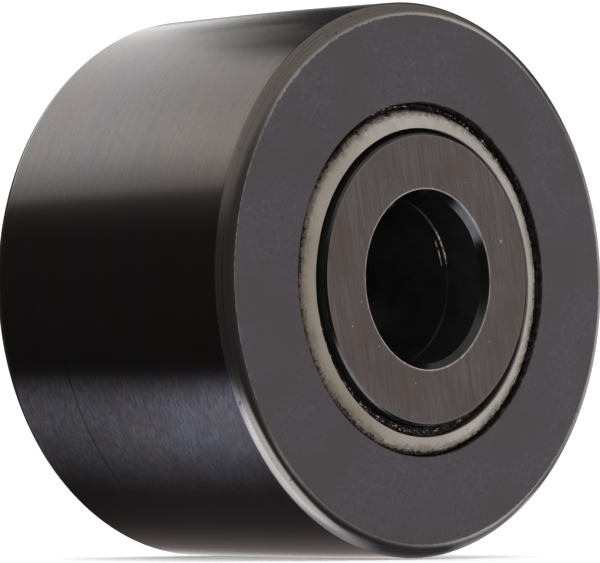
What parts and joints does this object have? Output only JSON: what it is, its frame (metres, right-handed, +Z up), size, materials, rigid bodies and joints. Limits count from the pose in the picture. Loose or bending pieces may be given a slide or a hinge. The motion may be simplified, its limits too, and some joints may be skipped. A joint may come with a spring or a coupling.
{
  "type": "cam follower",
  "caption": "Sealed yoke-type cam follower: thick crowned outer ring turning on caged needle rollers around an inner ring clamped between two end plates.",
  "frame": {"origin": "middle of the bore, halfway between the two end plates' outer faces", "axes": "+Y along the roller's axis from the front face to the back face; +Z up; +X to the right seen from the front"},
  "size_m": [0.0635, 0.0396, 0.0634],
  "materials": {
    "blackened_steel": "satin",
    "brushed_plate_steel": "satin",
    "seal_nylon": "satin",
    "washer_plastic": "satin",
    "race_steel": "satin",
    "cage_steel": "satin",
    "roller_steel": "polished"
  },
  "bodies": {
    "inner_unit": {"inner_ring": "race_steel", "front_end_plate": "brushed_plate_steel", "back_end_plate": "brushed_plate_steel"},
    "outer_unit": {"outer_ring": "blackened_steel", "front_seal": "seal_nylon", "back_seal": "seal_nylon", "front_thrust_washer": "washer_plastic", "back_thrust_washer": "washer_plastic"},
    "cage": {"roller_cage": "cage_steel"},
    "roller_01_body": {"roller_01": "roller_steel"},
    "roller_02_body": {"roller_02": "roller_steel"},
    "roller_03_body": {"roller_03": "roller_steel"},
    "roller_04_body": {"roller_04": "roller_steel"},
    "roller_05_body": {"roller_05": "roller_steel"},
    "roller_06_body": {"roller_06": "roller_steel"},
    "roller_07_body": {"roller_07": "roller_steel"},
    "roller_08_body": {"roller_08": "roller_steel"},
    "roller_09_body": {"roller_09": "roller_steel"},
    "roller_10_body": {"roller_10": "roller_steel"},
    "roller_11_body": {"roller_11": "roller_steel"},
    "roller_12_body": {"roller_12": "roller_steel"},
    "roller_13_body": {"roller_13": "roller_steel"},
    "roller_14_body": {"roller_14": "roller_steel"},
    "roller_15_body": {"roller_15": "roller_steel"},
    "roller_16_body": {"roller_16": "roller_steel"},
    "roller_17_body": {"roller_17": "roller_steel"},
    "roller_18_body": {"roller_18": "roller_steel"}
  },
  "joints": [
    {"name": "outer_spin", "type": "hinge", "parent": "inner_unit", "child": "outer_unit", "pos_m": [0, 0, 0], "axis": [0, 1, 0], "continuous": true},
    {"name": "cage_orbit", "type": "hinge", "parent": "inner_unit", "child": "cage", "pos_m": [0, 0, 0], "axis": [0, 1, 0], "continuous": true},
    {"name": "roller_01_spin", "type": "hinge", "parent": "cage", "child": "roller_01_body", "pos_m": [0.00234, 0, 0.0133], "axis": [0, 1, 0], "continuous": true},
    {"name": "roller_02_spin", "type": "hinge", "parent": "cage", "child": "roller_02_body", "pos_m": [0.00675, 0, 0.01169], "axis": [0, 1, 0], "continuous": true},
    {"name": "roller_03_spin", "type": "hinge", "parent": "cage", "child": "roller_03_body", "pos_m": [0.01034, 0, 0.00868], "axis": [0, 1, 0], "continuous": true},
    {"name": "roller_04_spin", "type": "hinge", "parent": "cage", "child": "roller_04_body", "pos_m": [0.01269, 0, 0.00462], "axis": [0, 1, 0], "continuous": true},
    {"name": "roller_05_spin", "type": "hinge", "parent": "cage", "child": "roller_05_body", "pos_m": [0.0135, 0, 0], "axis": [0, 1, 0], "continuous": true},
    {"name": "roller_06_spin", "type": "hinge", "parent": "cage", "child": "roller_06_body", "pos_m": [0.01269, 0, -0.00462], "axis": [0, 1, 0], "continuous": true},
    {"name": "roller_07_spin", "type": "hinge", "parent": "cage", "child": "roller_07_body", "pos_m": [0.01034, 0, -0.00868], "axis": [0, 1, 0], "continuous": true},
    {"name": "roller_08_spin", "type": "hinge", "parent": "cage", "child": "roller_08_body", "pos_m": [0.00675, 0, -0.01169], "axis": [0, 1, 0], "continuous": true},
    {"name": "roller_09_spin", "type": "hinge", "parent": "cage", "child": "roller_09_body", "pos_m": [0.00234, 0, -0.0133], "axis": [0, 1, 0], "continuous": true},
    {"name": "roller_10_spin", "type": "hinge", "parent": "cage", "child": "roller_10_body", "pos_m": [-0.00234, 0, -0.0133], "axis": [0, 1, 0], "continuous": true},
    {"name": "roller_11_spin", "type": "hinge", "parent": "cage", "child": "roller_11_body", "pos_m": [-0.00675, 0, -0.01169], "axis": [0, 1, 0], "continuous": true},
    {"name": "roller_12_spin", "type": "hinge", "parent": "cage", "child": "roller_12_body", "pos_m": [-0.01034, 0, -0.00868], "axis": [0, 1, 0], "continuous": true},
    {"name": "roller_13_spin", "type": "hinge", "parent": "cage", "child": "roller_13_body", "pos_m": [-0.01269, 0, -0.00462], "axis": [0, 1, 0], "continuous": true},
    {"name": "roller_14_spin", "type": "hinge", "parent": "cage", "child": "roller_14_body", "pos_m": [-0.0135, 0, 0], "axis": [0, 1, 0], "continuous": true},
    {"name": "roller_15_spin", "type": "hinge", "parent": "cage", "child": "roller_15_body", "pos_m": [-0.01269, 0, 0.00462], "axis": [0, 1, 0], "continuous": true},
    {"name": "roller_16_spin", "type": "hinge", "parent": "cage", "child": "roller_16_body", "pos_m": [-0.01034, 0, 0.00868], "axis": [0, 1, 0], "continuous": true},
    {"name": "roller_17_spin", "type": "hinge", "parent": "cage", "child": "roller_17_body", "pos_m": [-0.00675, 0, 0.01169], "axis": [0, 1, 0], "continuous": true},
    {"name": "roller_18_spin", "type": "hinge", "parent": "cage", "child": "roller_18_body", "pos_m": [-0.00234, 0, 0.0133], "axis": [0, 1, 0], "continuous": true}
  ],
  "couplings": [
    {"joint": "cage_orbit", "follows": "outer_spin", "ratio": 0.55878},
    {"joint": "roller_01_spin", "follows": "outer_spin", "ratio": 4.194},
    {"joint": "roller_02_spin", "follows": "outer_spin", "ratio": 4.194},
    {"joint": "roller_03_spin", "follows": "outer_spin", "ratio": 4.194},
    {"joint": "roller_04_spin", "follows": "outer_spin", "ratio": 4.194},
    {"joint": "roller_05_spin", "follows": "outer_spin", "ratio": 4.194},
    {"joint": "roller_06_spin", "follows": "outer_spin", "ratio": 4.194},
    {"joint": "roller_07_spin", "follows": "outer_spin", "ratio": 4.194},
    {"joint": "roller_08_spin", "follows": "outer_spin", "ratio": 4.194},
    {"joint": "roller_09_spin", "follows": "outer_spin", "ratio": 4.194},
    {"joint": "roller_10_spin", "follows": "outer_spin", "ratio": 4.194},
    {"joint": "roller_11_spin", "follows": "outer_spin", "ratio": 4.194},
    {"joint": "roller_12_spin", "follows": "outer_spin", "ratio": 4.194},
    {"joint": "roller_13_spin", "follows": "outer_spin", "ratio": 4.194},
    {"joint": "roller_14_spin", "follows": "outer_spin", "ratio": 4.194},
    {"joint": "roller_15_spin", "follows": "outer_spin", "ratio": 4.194},
    {"joint": "roller_16_spin", "follows": "outer_spin", "ratio": 4.194},
    {"joint": "roller_17_spin", "follows": "outer_spin", "ratio": 4.194},
    {"joint": "roller_18_spin", "follows": "outer_spin", "ratio": 4.194}
  ]
}
